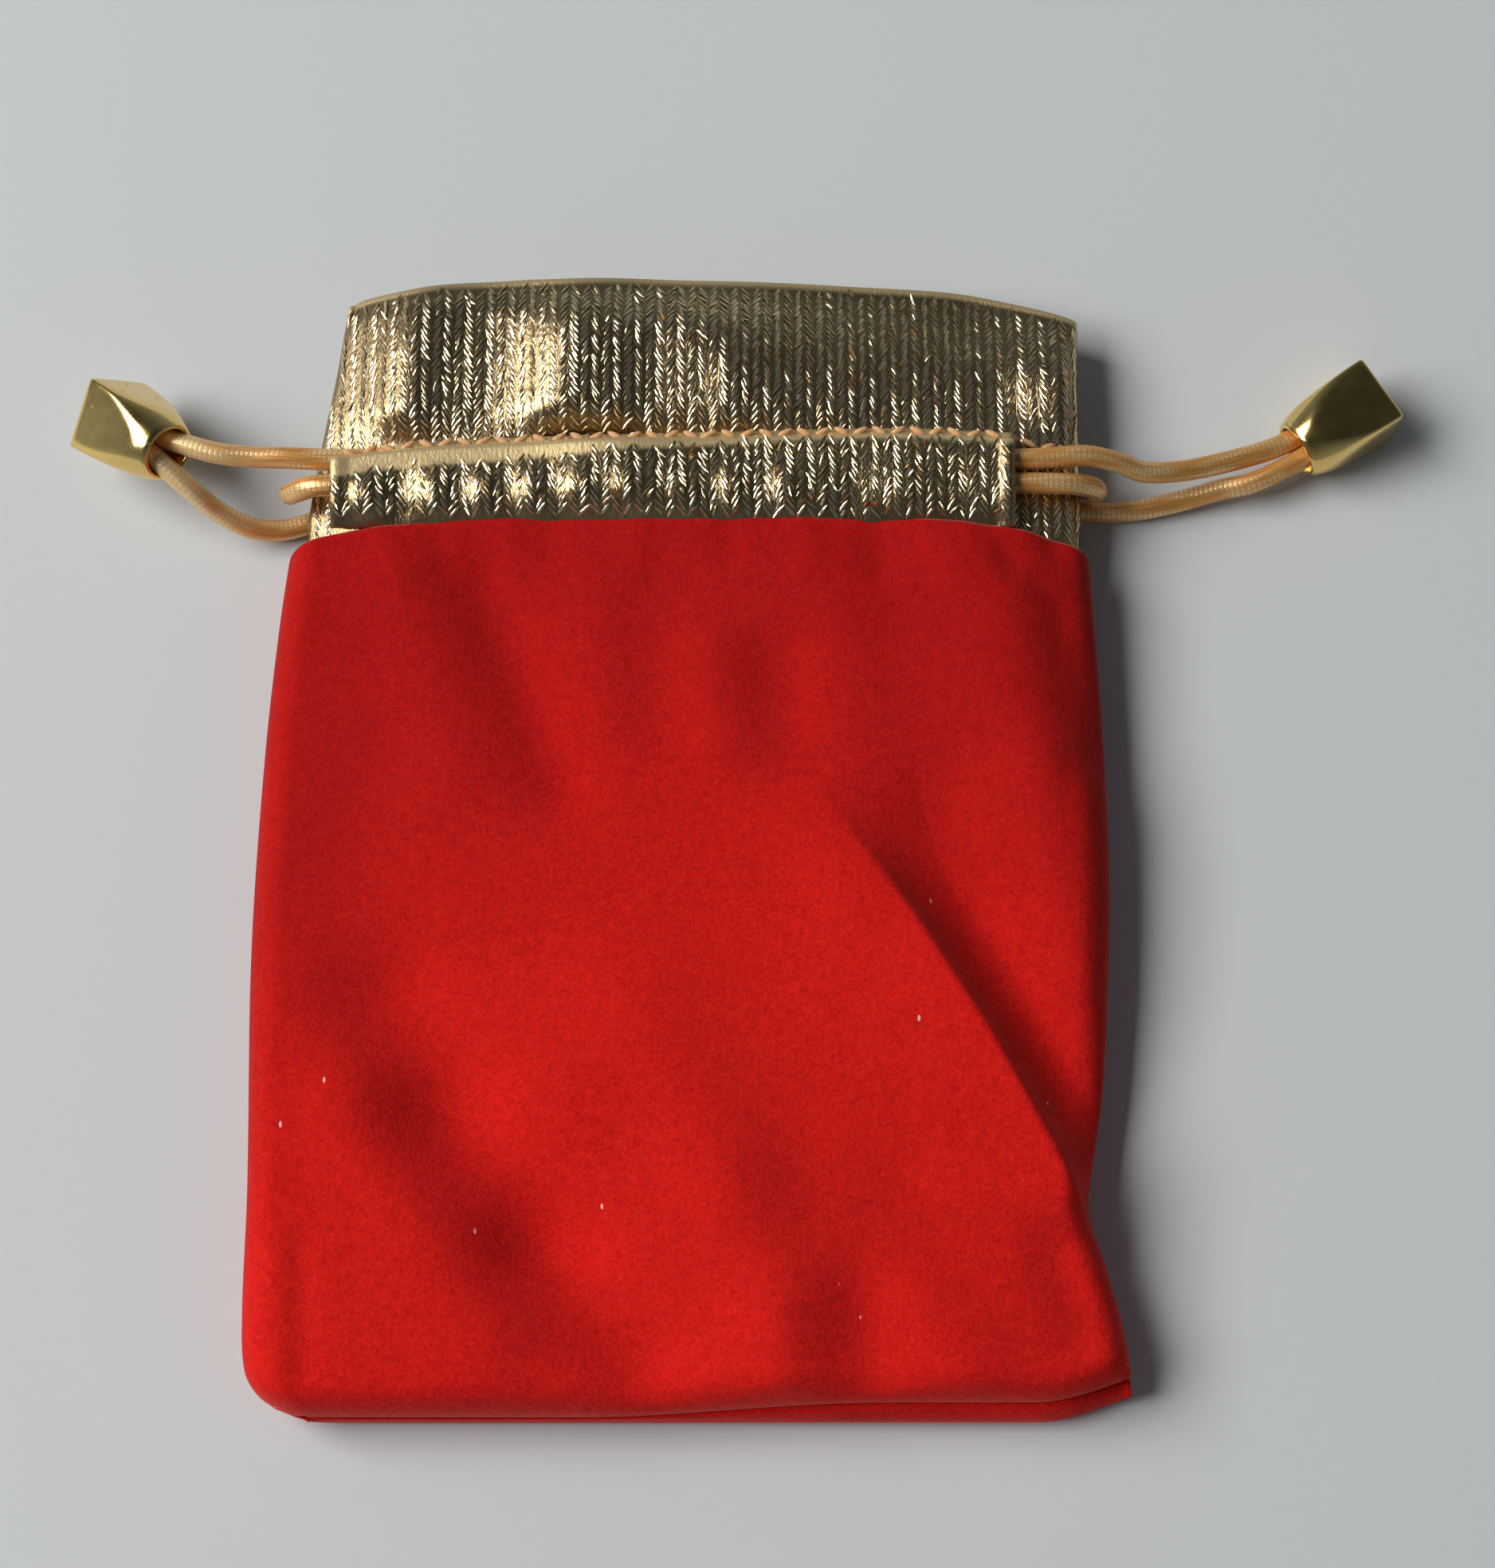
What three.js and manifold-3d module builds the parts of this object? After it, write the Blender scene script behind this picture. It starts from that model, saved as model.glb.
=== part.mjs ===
// Drawstring gift pouch lying flat, mouth towards +Y. Millimetres, +Z up, resting on z = 0.
import * as THREE from 'three';
import { mergeVertices } from 'three/addons/utils/BufferGeometryUtils.js';
import Module from 'manifold-3d';

const wasm = await Module();
wasm.setup();

// Driving dimensions
const pouchLength = 122;
const velvetLength = 93.5;
const velvetWidth = 90;
const velvetMouthWidth = 84.4;
const velvetThickness = 1.2;
const cornerRadius = 4;
const collarThickness = 0.5;
const collarBaseWidth = 82.8;
const collarRimWidth = 78.4;
const seamHeight = 6;
const bellyHeight = 11.8;
const neckHeight = 10.4;
const collarBottom = 3;
const collarTop = 8.8;
const fitGap = 0.3;
const cordDiameter = 2.3;
const laneHeightFront = 10.1;
const casingThickness = 0.5;
const threadThickness = 0.4;
const bellSide = 8;
const bellLength = 10.8;
const bellMouthRadius = 3.15;
const bellBoreRadius = 2.65;
const bellBoreDepth = 9.4;

// Places that follow from them
const bottomY = -pouchLength / 2;
const rimY = pouchLength / 2;
const waistY = bottomY + velvetLength;
const foldY = waistY + 10.3;
const halfGap = fitGap / 2;

const looks = {
  velvet: { color: 0xb8181a, roughness: 0.95, metalness: 0 },
  lame: { color: 0xb79a55, roughness: 0.4, metalness: 0.7 },
  cord: { color: 0xd79a4a, roughness: 0.55, metalness: 0 },
  bell: { color: 0xc9ab45, roughness: 0.12, metalness: 1 },
  redThread: { color: 0x8f1416, roughness: 0.8, metalness: 0 },
  goldThread: { color: 0xc07a35, roughness: 0.7, metalness: 0 },
};

const pouch = new THREE.Group();

function add(name, geometry, look) {
  const mesh = new THREE.Mesh(geometry, new THREE.MeshStandardMaterial(looks[look]));
  mesh.name = name;
  pouch.add(mesh);
  return mesh;
}

function blendBetween(from, to, share) {
  return from + (to - from) * share;
}

// 1 up to `flat`, then a quarter round down to 0 at 1.
function roundedEdge(share, flat) {
  const past = Math.max(0, share - flat) / (1 - flat);
  return Math.sqrt(Math.max(0, 1 - past * past));
}

// A sheet of cloth: a thin box whose points go where place(across, along, side) says.
// across runs -1 to 1, along 0 to 1, and side is -0.5 on the lower face and 0.5 on the upper.
function clothSheet(acrossSteps, alongSteps, place) {
  const geometry = new THREE.BoxGeometry(2, 1, 1, acrossSteps, alongSteps, 1);
  const points = geometry.attributes.position;
  for (let i = 0; i < points.count; i += 1) {
    const across = Math.sin((points.getX(i) * Math.PI) / 2);
    const along = points.getY(i) + 0.5;
    const spot = place(across, along, points.getZ(i));
    points.setXYZ(i, spot[0], spot[1], spot[2]);
  }
  return geometry;
}

// Half the width of the velvet bag at y, with rounded bottom corners.
function velvetHalfWidth(y) {
  const rise = (y - bottomY) / velvetLength;
  const straight = blendBetween(velvetWidth, velvetMouthWidth, rise ** 2.5) / 2;
  const inCorner = Math.max(0, cornerRadius - (y - bottomY));
  return straight - (cornerRadius - Math.sqrt(cornerRadius ** 2 - inCorner ** 2));
}

function makeVelvetPanels() {
  const bottomRoll = 12;
  const backRoll = 6;
  add('front_velvet_panel', clothSheet(18, 20, (across, along, side) => {
    const y = bottomY + velvetLength * along ** 1.5;
    const crown = blendBetween(bellyHeight, neckHeight, Math.max(0, (y - bottomY) / velvetLength) ** 4);
    const edge = seamHeight + halfGap + velvetThickness / 2;
    const sideShape = Math.sqrt(1 - across ** 4);
    const fromBottom = Math.min(1, (y - bottomY) / bottomRoll);
    const bottomShape = Math.sqrt(1 - (1 - fromBottom) ** 2.5);
    const rise = crown - velvetThickness / 2 - edge;
    const z = edge + rise * sideShape * bottomShape + side * velvetThickness;
    return [across * velvetHalfWidth(y), y, z];
  }), 'velvet');
  add('back_velvet_panel', clothSheet(18, 20, (across, along, side) => {
    const y = bottomY + velvetLength * along ** 1.5;
    const edge = seamHeight - halfGap - velvetThickness / 2;
    const drop = edge - velvetThickness / 2;
    const sideShape = roundedEdge(Math.abs(across), 0.86);
    const bottomShape = roundedEdge(Math.max(0, 1 - (y - bottomY) / backRoll), 0);
    const z = edge - drop * sideShape * bottomShape + side * velvetThickness;
    return [across * velvetHalfWidth(y), y, z];
  }), 'velvet');
}

// The gold collar leans a little to +X as it lies.
function collarCentre(y) {
  return blendBetween(0.8, 2.6, (y - waistY) / (rimY - waistY));
}

function collarHalfWidth(y) {
  return blendBetween(collarBaseWidth, collarRimWidth, (y - waistY) / (rimY - waistY)) / 2;
}

function collarSheet(name, fromY, toY, isFront, alongSteps) {
  const way = isFront ? 1 : -1;
  const edge = seamHeight + way * (halfGap + collarThickness / 2);
  const level = isFront ? collarTop - collarThickness / 2 : collarBottom + collarThickness / 2;
  add(name, clothSheet(18, alongSteps, (across, along, side) => {
    const y = blendBetween(fromY, toY, along);
    const z = blendBetween(edge, level, Math.sqrt(1 - across ** 6)) + side * collarThickness;
    return [collarCentre(y) + across * collarHalfWidth(y), y, z];
  }), 'lame');
}

function makeCollar() {
  collarSheet('front_collar_band', waistY + fitGap, foldY - halfGap, true, 3);
  collarSheet('back_collar_band', waistY + fitGap, foldY - halfGap, false, 3);
  collarSheet('front_collar_flap', foldY + halfGap, rimY, true, 5);
  collarSheet('back_collar_flap', foldY + halfGap, rimY, false, 5);
}

// A casing strip: two sewn flanges and an arch between them that the cords run through.
// base is the height of the flange against the collar, and way is +1 on the front, -1 on the back.
function casingStrip(name, fromX, toX, base, crown, way) {
  const lowFlange = waistY + 0.8;
  const highFlange = foldY - 0.3;
  const archStart = waistY + 2.5;
  const archEnd = foldY - 1.9;
  const shoulder = 1.9;
  const skin = way * casingThickness;
  const section = new THREE.Shape();
  section.moveTo(lowFlange, base);
  section.lineTo(archStart, base);
  section.quadraticCurveTo(archStart, crown - skin, archStart + shoulder, crown - skin);
  section.lineTo(archEnd - shoulder, crown - skin);
  section.quadraticCurveTo(archEnd, crown - skin, archEnd, base);
  section.lineTo(highFlange, base);
  section.lineTo(highFlange, base + skin);
  section.lineTo(archEnd + casingThickness, base + skin);
  section.quadraticCurveTo(archEnd + casingThickness, crown, archEnd - shoulder, crown);
  section.lineTo(archStart + shoulder, crown);
  section.quadraticCurveTo(archStart - casingThickness, crown, archStart - casingThickness, base + skin);
  section.lineTo(lowFlange, base + skin);
  section.closePath();
  const geometry = new THREE.ExtrudeGeometry(section, {
    depth: toX - fromX, bevelEnabled: false, curveSegments: 5,
  });
  const turn = new THREE.Matrix4().makeBasis(
    new THREE.Vector3(0, 1, 0),
    new THREE.Vector3(0, 0, 1),
    new THREE.Vector3(1, 0, 0),
  );
  geometry.applyMatrix4(turn);
  geometry.translate(fromX, 0, 0);
  add(name, geometry, 'lame');
}

function makeCasings() {
  const crown = laneHeightFront + cordDiameter / 2 + 0.2 + casingThickness;
  casingStrip('front_casing', -37.5, 34.5, collarTop + fitGap, crown, 1);
  casingStrip('back_casing', -36, 36, collarBottom - fitGap, 0, -1);
}

// A row of sewing thread: a slim bar between two ends.
function threadBar(name, start, end, look) {
  const from = new THREE.Vector3(...start);
  const to = new THREE.Vector3(...end);
  const run = to.clone().sub(from);
  const geometry = new THREE.BoxGeometry(threadThickness, threadThickness, run.length());
  const mesh = add(name, geometry, look);
  mesh.position.copy(from.clone().add(to).multiplyScalar(0.5));
  mesh.quaternion.setFromUnitVectors(new THREE.Vector3(0, 0, 1), run.normalize());
}

function makeStitching() {
  const stitchY = foldY - 0.75;
  const frontStitchZ = collarTop + fitGap + casingThickness + threadThickness / 2 + 0.1;
  const backStitchZ = collarBottom - fitGap - casingThickness - threadThickness / 2 - 0.1;
  threadBar('front_casing_topstitch', [-37, stitchY, frontStitchZ], [40, stitchY, frontStitchZ], 'goldThread');
  threadBar('back_casing_topstitch', [-36, stitchY, backStitchZ], [36, stitchY, backStitchZ], 'goldThread');
  const waistSeamY = waistY - 0.9;
  threadBar('front_waist_seam', [-28, waistSeamY, 8.45], [28, waistSeamY, 8.45], 'redThread');
  threadBar('back_waist_seam', [-34, waistSeamY, 1.8], [34, waistSeamY, 1.8], 'redThread');
  const sideIn = 1.6;
  for (const side of [-1, 1]) {
    const label = side < 0 ? 'left' : 'right';
    const low = bottomY + 6;
    const middle = 0;
    const lowX = side * (velvetHalfWidth(low) - sideIn);
    const middleX = side * (velvetHalfWidth(middle) - sideIn);
    threadBar(`${label}_side_seam`, [lowX, low, seamHeight], [middleX, middle, seamHeight], 'redThread');
    const flapLow = foldY + 1;
    const flapHigh = rimY - 1;
    const flapIn = 1.4;
    threadBar(
      `${label}_collar_seam`,
      [collarCentre(flapLow) + side * (collarHalfWidth(flapLow) - flapIn), flapLow, seamHeight],
      [collarCentre(flapHigh) + side * (collarHalfWidth(flapHigh) - flapIn), flapHigh, seamHeight],
      'goldThread',
    );
  }
  const bottomSeamY = bottomY + 1.2;
  threadBar('bottom_seam', [-36, bottomSeamY, seamHeight], [36, bottomSeamY, seamHeight], 'redThread');
}

// Each bell's mouth centre, the way it points and how far it is rolled, in degrees.
const bells = {
  right: { mouth: [65.5, 42.6, 4.05], heading: 33, pitch: 0, roll: 0 },
  left: { mouth: [-55, 40.2, 9.9], heading: 141, pitch: -25, roll: 56 },
};

const radians = Math.PI / 180;

function bellFrame({ mouth, heading, pitch, roll }) {
  const turn = new THREE.Matrix4().makeRotationZ(heading * radians);
  turn.multiply(new THREE.Matrix4().makeRotationY(-pitch * radians));
  turn.multiply(new THREE.Matrix4().makeRotationX(roll * radians));
  return turn.setPosition(...mouth);
}

function solidOf(geometry) {
  geometry.deleteAttribute('normal');
  geometry.deleteAttribute('uv');
  const merged = mergeVertices(geometry, 1e-4);
  return new wasm.Manifold(new wasm.Mesh({
    numProp: 3,
    vertProperties: new Float32Array(merged.attributes.position.array),
    triVerts: new Uint32Array(merged.index.array),
  }));
}

function geometryOf(solid) {
  const mesh = solid.getMesh();
  const geometry = new THREE.BufferGeometry();
  geometry.setAttribute('position', new THREE.BufferAttribute(mesh.vertProperties, 3));
  geometry.setIndex(new THREE.BufferAttribute(mesh.triVerts, 1));
  return geometry;
}

// A round profile turned about the bell's own +X axis, mouth at x = 0.
function turned(profile, segments) {
  const points = profile.map(([along, radius]) => new THREE.Vector2(radius, along));
  return new THREE.LatheGeometry(points, segments).rotateZ(-Math.PI / 2);
}

// A bell of revolution squared off by a prism, with a blind bore up from its mouth.
function makeBells() {
  const steps = 8;
  const flare = bellSide / Math.SQRT2 + 0.05 - bellMouthRadius;
  const profile = [[0, 0]];
  for (let i = 0; i <= steps; i += 1) {
    const along = (bellLength * i) / steps;
    const fromEnd = 1 - along / bellLength;
    profile.push([along, bellMouthRadius + flare * (1 - fromEnd ** 1.84)]);
  }
  profile.push([bellLength, 0]);
  const outside = solidOf(turned(profile, 32));
  const prism = solidOf(new THREE.BoxGeometry(bellLength * 3, bellSide, bellSide));
  const bore = solidOf(turned([
    [-1, 0],
    [-1, bellBoreRadius],
    [bellBoreDepth, bellBoreRadius],
    [bellBoreDepth, 0],
  ], 24));
  const bell = outside.intersect(prism).subtract(bore);
  for (const side of ['right', 'left']) {
    const mesh = add(`${side}_bell`, geometryOf(bell), 'bell');
    mesh.applyMatrix4(bellFrame(bells[side]));
  }
}

// The knot that holds each bell on, deep in its bore.
function makeKnots() {
  const knotRadius = 2.3;
  for (const side of ['right', 'left']) {
    const geometry = new THREE.SphereGeometry(knotRadius, 12, 8);
    geometry.translate(5.8, 0, 0);
    const mesh = add(`${side}_cord_knot`, geometry, 'cord');
    mesh.applyMatrix4(bellFrame(bells[side]));
  }
}

// Each strand's route from inside its channel to just outside the mouth of its bell.
const tailRoutes = {
  right_cord_front_tail: [
    [8, 39.4, 10.1], [21, 39.4, 10.1], [34.5, 39.4, 10.1], [38.5, 39.6, 10.1], [42.3, 39.9, 9.9],
    [45.8, 39.6, 8.6], [48.6, 39.2, 7.1], [52, 39.8, 5.9], [56.5, 41.6, 4.9], [60.2, 42, 4.4],
  ],
  right_cord_back_tail: [
    [8, 36.7, 1.7], [21, 36.7, 1.7], [36, 36.7, 1.7], [42.5, 36.4, 1.6], [48, 36.6, 1.6],
    [53, 37.6, 1.8], [57.4, 38.7, 2.5], [61.4, 39.4, 3.4],
  ],
  left_cord_front_tail: [
    [-8, 39.4, 10.1], [-21, 39.4, 10.1], [-37.5, 39.4, 10.1], [-42, 39.6, 10], [-46.5, 39.9, 9.6],
    [-50.4, 40.4, 9.6],
  ],
  left_cord_back_tail: [
    [-8, 36.7, 1.7], [-21, 36.7, 1.7], [-30, 36.7, 1.7], [-36.5, 36.6, 1.7], [-40.4, 35.3, 1.6], [-43.8, 34.3, 1.8],
    [-47, 34.2, 3], [-50.4, 35.4, 5.1], [-53, 37, 7.8],
  ],
};

// Each loop's route from one channel, round the side of the neck, into the other channel.
const loopRoutes = {
  right_cord_loop: [
    [-22, 36.8, 10.1], [-30, 36.8, 10.1], [-37.5, 36.6, 10.1], [-40.3, 36.5, 9.5], [-42, 36.5, 7.7],
    [-42.5, 37, 5.9], [-42, 37.9, 4.1], [-40.3, 39, 2.5], [-37.5, 39.3, 1.75], [-34, 39.3, 1.75],
    [-22, 39.3, 1.75],
  ],
  left_cord_loop: [
    [22, 36.8, 10.1], [30, 36.8, 10.1], [38.5, 36.7, 10.1], [41.8, 36.8, 9.5], [43.7, 37, 7.7],
    [44.2, 37.2, 5.9], [43.7, 38.1, 4.1], [41.8, 39, 2.5], [38.5, 39.3, 1.75], [34, 39.3, 1.75],
    [22, 39.3, 1.75],
  ],
};

function cordTube(name, route, steps) {
  const sides = 8;
  const section = new THREE.Shape();
  for (let i = 0; i < sides; i += 1) {
    const angle = (2 * Math.PI * (i + 0.5)) / sides;
    const x = (Math.cos(angle) * cordDiameter) / 2;
    const y = (Math.sin(angle) * cordDiameter) / 2;
    if (i === 0) {
      section.moveTo(x, y);
    } else {
      section.lineTo(x, y);
    }
  }
  section.closePath();
  const path = new THREE.CatmullRomCurve3(route.map((point) => new THREE.Vector3(...point)));
  add(name, new THREE.ExtrudeGeometry(section, { steps, extrudePath: path }), 'cord');
}

// The last points of a strand: beside its partner at the mouth, then straight up the bore.
function mouthPoints(side, lane) {
  const frame = bellFrame({ ...bells[side], roll: 0 });
  const offset = lane * (cordDiameter / 2 + 0.1);
  return [-1.5, 0.5, 3].map((depth) => new THREE.Vector3(depth, offset, 0).applyMatrix4(frame).toArray());
}

function makeCords() {
  for (const [name, route] of Object.entries(tailRoutes)) {
    const side = name.startsWith('right') ? 'right' : 'left';
    const upperLane = name.includes('front') === (side === 'right');
    cordTube(name, [...route, ...mouthPoints(side, upperLane ? 1 : -1)], 14);
  }
  for (const [name, route] of Object.entries(loopRoutes)) {
    cordTube(name, route, 16);
  }
}

makeVelvetPanels();
makeCollar();
makeCasings();
makeStitching();
makeBells();
makeKnots();
makeCords();

export default pouch;
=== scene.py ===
import bmesh
import bpy
import math
import random
from mathutils import Matrix, Vector


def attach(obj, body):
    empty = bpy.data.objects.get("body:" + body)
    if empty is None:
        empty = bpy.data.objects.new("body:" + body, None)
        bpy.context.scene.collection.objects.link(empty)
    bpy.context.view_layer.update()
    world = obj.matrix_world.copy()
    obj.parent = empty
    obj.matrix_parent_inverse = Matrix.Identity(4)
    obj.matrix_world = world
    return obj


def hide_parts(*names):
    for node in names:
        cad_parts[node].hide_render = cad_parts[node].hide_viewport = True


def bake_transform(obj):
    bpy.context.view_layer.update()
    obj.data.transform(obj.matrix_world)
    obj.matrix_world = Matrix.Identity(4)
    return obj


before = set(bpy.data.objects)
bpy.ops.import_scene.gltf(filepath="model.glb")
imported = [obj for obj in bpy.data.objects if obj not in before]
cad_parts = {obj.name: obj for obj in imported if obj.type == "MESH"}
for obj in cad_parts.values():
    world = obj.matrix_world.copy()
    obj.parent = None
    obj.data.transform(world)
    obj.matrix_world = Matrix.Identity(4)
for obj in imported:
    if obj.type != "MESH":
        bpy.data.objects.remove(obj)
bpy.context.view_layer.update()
mm = 0.001  # sizes below are in millimetres, apart from the cord routes


# Small helpers.

def smooth(low, high, at):
    share = min(1, max(0, (at - low) / (high - low)))
    return share * share * (3 - 2 * share)


def lerp(a, b, share):
    return a + (b - a) * share


# A smooth line through a few (place, value) points, in rising order of place.
def through(points, at):
    if at <= points[0][0]:
        return points[0][1]
    if at >= points[-1][0]:
        return points[-1][1]
    for i in range(len(points) - 1):
        (x0, y0), (x1, y1) = points[i], points[i + 1]
        if at <= x1:
            break
    before = points[max(0, i - 1)]
    after = points[min(len(points) - 1, i + 2)]
    slope0 = (y1 - before[1]) / (x1 - before[0])
    slope1 = (after[1] - y0) / (after[0] - x0)
    t = (at - x0) / (x1 - x0)
    span = x1 - x0
    return ((2 * t**3 - 3 * t**2 + 1) * y0 + (t**3 - 2 * t**2 + t) * span * slope0
            + (3 * t**2 - 2 * t**3) * y1 + (t**3 - t**2) * span * slope1)


# Distance from (x, y) to the straight line between two points.
def toLine(x, y, x0, y0, x1, y1):
    dx, dy = x1 - x0, y1 - y0
    share = ((x - x0) * dx + (y - y0) * dy) / max(1e-9, dx * dx + dy * dy)
    share = min(1, max(0, share))
    return math.hypot(x - x0 - share * dx, y - y0 - share * dy)


# The lift that a list of soft ridges and hollows gives at (x, y): x0, y0, x1, y1, width, height.
def relief(waves, x, y):
    lift = 0
    for x0, y0, x1, y1, width, height in waves:
        gap = toLine(x, y, x0, y0, x1, y1) / width
        if gap < 2.6:
            lift += height * math.exp(-gap * gap)
    return lift


def finishMesh(bm, name, material, shade=True):
    mesh = bpy.data.meshes.new(name)
    bm.to_mesh(mesh)
    bm.free()
    mesh.materials.append(material)
    for face in mesh.polygons:
        face.use_smooth = shade
    piece = bpy.data.objects.new(name, mesh)
    bpy.context.scene.collection.objects.link(piece)
    return piece


# A fine grid of cloth whose points go where place(across, along) says, both from 0 to 1.
# Its UV map is in millimetres of flat cloth.
def grid(columns, rows, place, flat):
    bm = bmesh.new()
    uvs = bm.loops.layers.uv.new("cloth")
    bmesh.ops.create_grid(bm, x_segments=columns, y_segments=rows, size=0.5)
    for face in bm.faces:
        for loop in face.loops:
            spot = loop.vert.co
            loop[uvs].uv = ((spot.x + 0.5) * flat[0], (spot.y + 0.5) * flat[1])
    for vert in bm.verts:
        vert.co = Vector(place(vert.co.x + 0.5, vert.co.y + 0.5)) * mm
    return bm


# Gives a sheet its wall, inward. thinning(x, y), where given, is the share of the wall left there.
def thicken(piece, thickness, thinning=None):
    solid = piece.modifiers.new("wall", "SOLIDIFY")
    solid.thickness = thickness * mm
    solid.offset = -1
    if thinning:
        group = piece.vertex_groups.new(name="wall")
        for vert in piece.data.vertices:
            group.add([vert.index], thinning(vert.co.x / mm, vert.co.y / mm), "REPLACE")
        solid.vertex_group = "wall"
        solid.thickness_vertex_group = 0.08
    bpy.context.view_layer.update()
    applied = bpy.data.meshes.new_from_object(piece.evaluated_get(bpy.context.evaluated_depsgraph_get()))
    piece.modifiers.clear()
    piece.data = applied
    return piece


# Shader helpers.

class Value:
    def __init__(self, finish, socket):
        self.finish = finish
        self.socket = socket

    def math(self, operation, first, second):
        node = self.finish.node("ShaderNodeMath", {"operation": operation}, {0: first, 1: second})
        return Value(self.finish, node.outputs[0])

    def __add__(self, other):
        return self.math("ADD", self, other)

    def __radd__(self, other):
        return self.math("ADD", other, self)

    def __sub__(self, other):
        return self.math("SUBTRACT", self, other)

    def __rsub__(self, other):
        return self.math("SUBTRACT", other, self)

    def __mul__(self, other):
        return self.math("MULTIPLY", self, other)

    def __rmul__(self, other):
        return self.math("MULTIPLY", other, self)

    def __gt__(self, other):
        return self.math("GREATER_THAN", self, other)

    def __lt__(self, other):
        return self.math("LESS_THAN", self, other)


class Nodes:
    def __init__(self, owner):
        owner.use_nodes = True
        self.tree = owner.node_tree

    def node(self, kind, settings=None, inputs=None):
        node = self.tree.nodes.new(kind)
        for name, value in (settings or {}).items():
            setattr(node, name, value)
        for name, value in (inputs or {}).items():
            self.feed(node.inputs[name], value)
        return node

    def feed(self, socket, value):
        if isinstance(value, Value):
            self.tree.links.new(value.socket, socket)
        elif isinstance(value, bpy.types.NodeSocket):
            self.tree.links.new(value, socket)
        else:
            socket.default_value = value

    def noise(self, where, scale, detail=2, roughness=0.5):
        inputs = {"Vector": where, "Scale": scale, "Detail": detail, "Roughness": roughness}
        return Value(self, self.node("ShaderNodeTexNoise", None, inputs).outputs["Fac"])

    def mix(self, share, first, second):
        settings = {"data_type": "RGBA"}
        node = self.node("ShaderNodeMix", settings, {0: share, 6: first, 7: second})
        return node.outputs[2]

    def place(self, kind="Object"):
        return self.node("ShaderNodeTexCoord").outputs[kind]

    def stretched(self, where, scale=(1, 1, 1), turn=0):
        inputs = {"Vector": where, "Scale": scale, "Rotation": (0, 0, turn)}
        return self.node("ShaderNodeMapping", None, inputs).outputs[0]

    def spread(self, value, low, high, outLow=0, outHigh=1):
        inputs = {"Value": value, "From Min": low, "From Max": high, "To Min": outLow, "To Max": outHigh}
        return Value(self, self.node("ShaderNodeMapRange", None, inputs).outputs[0])


class Finish(Nodes):
    def __init__(self, name):
        self.material = bpy.data.materials.new(name)
        super().__init__(self.material)
        self.shader = self.tree.nodes["Principled BSDF"]

    def set(self, **values):
        for name, value in values.items():
            self.feed(self.shader.inputs[name.replace("_", " ")], value)

    def bump(self, height, strength, distance):
        inputs = {"Height": height, "Strength": strength, "Distance": distance * mm}
        self.set(Normal=self.node("ShaderNodeBump", None, inputs).outputs[0])


# Camera.

view = {"aim": (6.4, 6.5, 0), "distance": 406, "tilt": 15, "lens": 91.92, "sensor": 36}


def addCamera():
    tilt = math.radians(view["tilt"])
    data = bpy.data.cameras.new("camera")
    data.lens = view["lens"]
    data.sensor_fit = "HORIZONTAL"
    data.sensor_width = view["sensor"]
    data.clip_start = 0.01
    camera = bpy.data.objects.new("camera", data)
    bpy.context.scene.collection.objects.link(camera)
    back = Vector((0, -math.sin(tilt), math.cos(tilt))) * view["distance"]
    camera.location = (Vector(view["aim"]) + back) * mm
    camera.rotation_euler = (tilt, 0, 0)
    bpy.context.scene.camera = camera


addCamera()
print("camera set")


# Bells: where each hangs, as in the frame.

bells = {
    "side": 8, "length": 10.8, "mouth": 3.15, "bore": 2.65, "boreDepth": 9.4, "flarePower": 1.84,
    "right": {"mouth": (65.5, 42.6, 4.05), "heading": 33, "pitch": 0, "roll": 0},
    "left": {"mouth": (-55, 40.2, 9.9), "heading": 141, "pitch": -25, "roll": 56},
}


# The bell's own +X runs from its mouth to its square end.
def bellFrame(side, rolled=True):
    bell = bells[side]
    turn = Matrix.Rotation(math.radians(bell["heading"]), 4, "Z")
    turn = turn @ Matrix.Rotation(math.radians(-bell["pitch"]), 4, "Y")
    if rolled:
        turn = turn @ Matrix.Rotation(math.radians(bell["roll"]), 4, "X")
    return Matrix.Translation(Vector(bell["mouth"]) * mm) @ turn


# Cords.

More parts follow.
